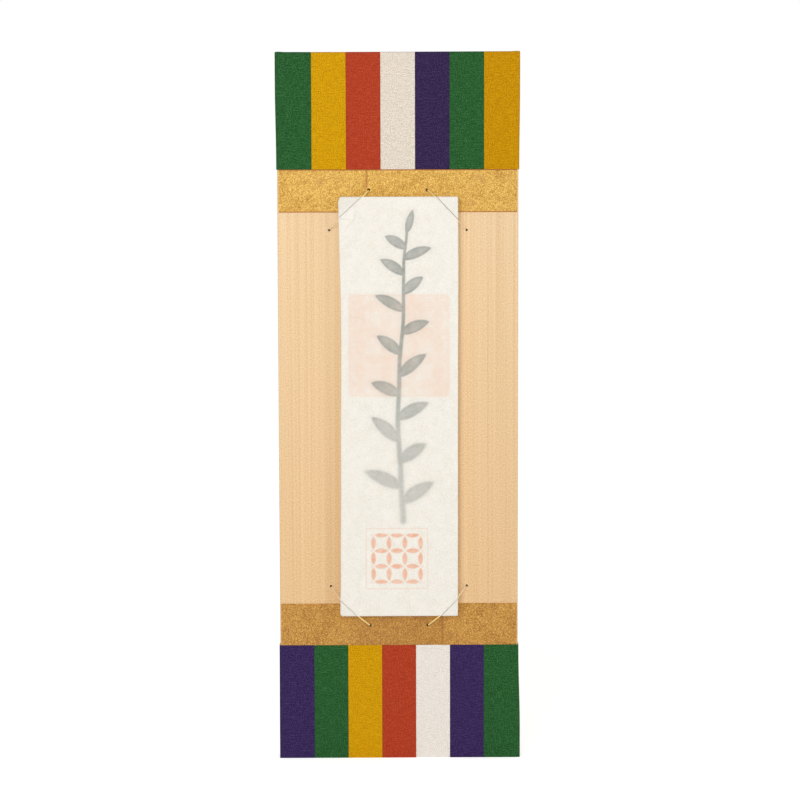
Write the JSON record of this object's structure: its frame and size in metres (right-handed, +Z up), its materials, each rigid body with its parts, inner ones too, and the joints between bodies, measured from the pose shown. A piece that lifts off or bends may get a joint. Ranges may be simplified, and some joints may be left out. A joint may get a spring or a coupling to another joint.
{
  "type": "wall kamidana panel",
  "caption": "Slim wooden wall panel with silk-striped ends and gold paper strips, holding a paper talisman packet flat under four elastic corner cords.",
  "frame": {"origin": "centre of the board's back face, on the wall plane", "axes": "+Z up along the board's length, +Y into the wall, so the front faces -Y and +X is to the viewer's right"},
  "size_m": [0.141, 0.0174, 0.414],
  "materials": {
    "hinoki_wood": "satin",
    "gold_paper": "satin",
    "core_wood": "matte",
    "sleeve_paper": "matte",
    "wrapper_paper": "matte",
    "silk_green": "satin",
    "silk_yellow": "satin",
    "silk_red": "satin",
    "silk_white": "satin",
    "silk_purple": "satin",
    "elastic_cord": "matte"
  },
  "bodies": {
    "root": {"backing_board": "hinoki_wood", "gold_strip_top": "gold_paper", "gold_strip_bottom": "gold_paper", "ofuda_core": "core_wood", "ofuda_sleeve_lower": "sleeve_paper", "ofuda_sleeve_upper": "sleeve_paper", "ofuda_wrapper": "wrapper_paper", "silk_top_green_left": "silk_green", "silk_top_yellow_left": "silk_yellow", "silk_top_red": "silk_red", "silk_top_white": "silk_white", "silk_top_purple": "silk_purple", "silk_top_green_right": "silk_green", "silk_top_yellow_right": "silk_yellow", "silk_bottom_purple_left": "silk_purple", "silk_bottom_green_left": "silk_green", "silk_bottom_yellow": "silk_yellow", "silk_bottom_red": "silk_red", "silk_bottom_white": "silk_white", "silk_bottom_purple_right": "silk_purple", "silk_bottom_green_right": "silk_green", "elastic_cord_top_left": "elastic_cord", "elastic_cord_top_right": "elastic_cord", "elastic_cord_bottom_left": "elastic_cord", "elastic_cord_bottom_right": "elastic_cord"}
  },
  "joints": []
}
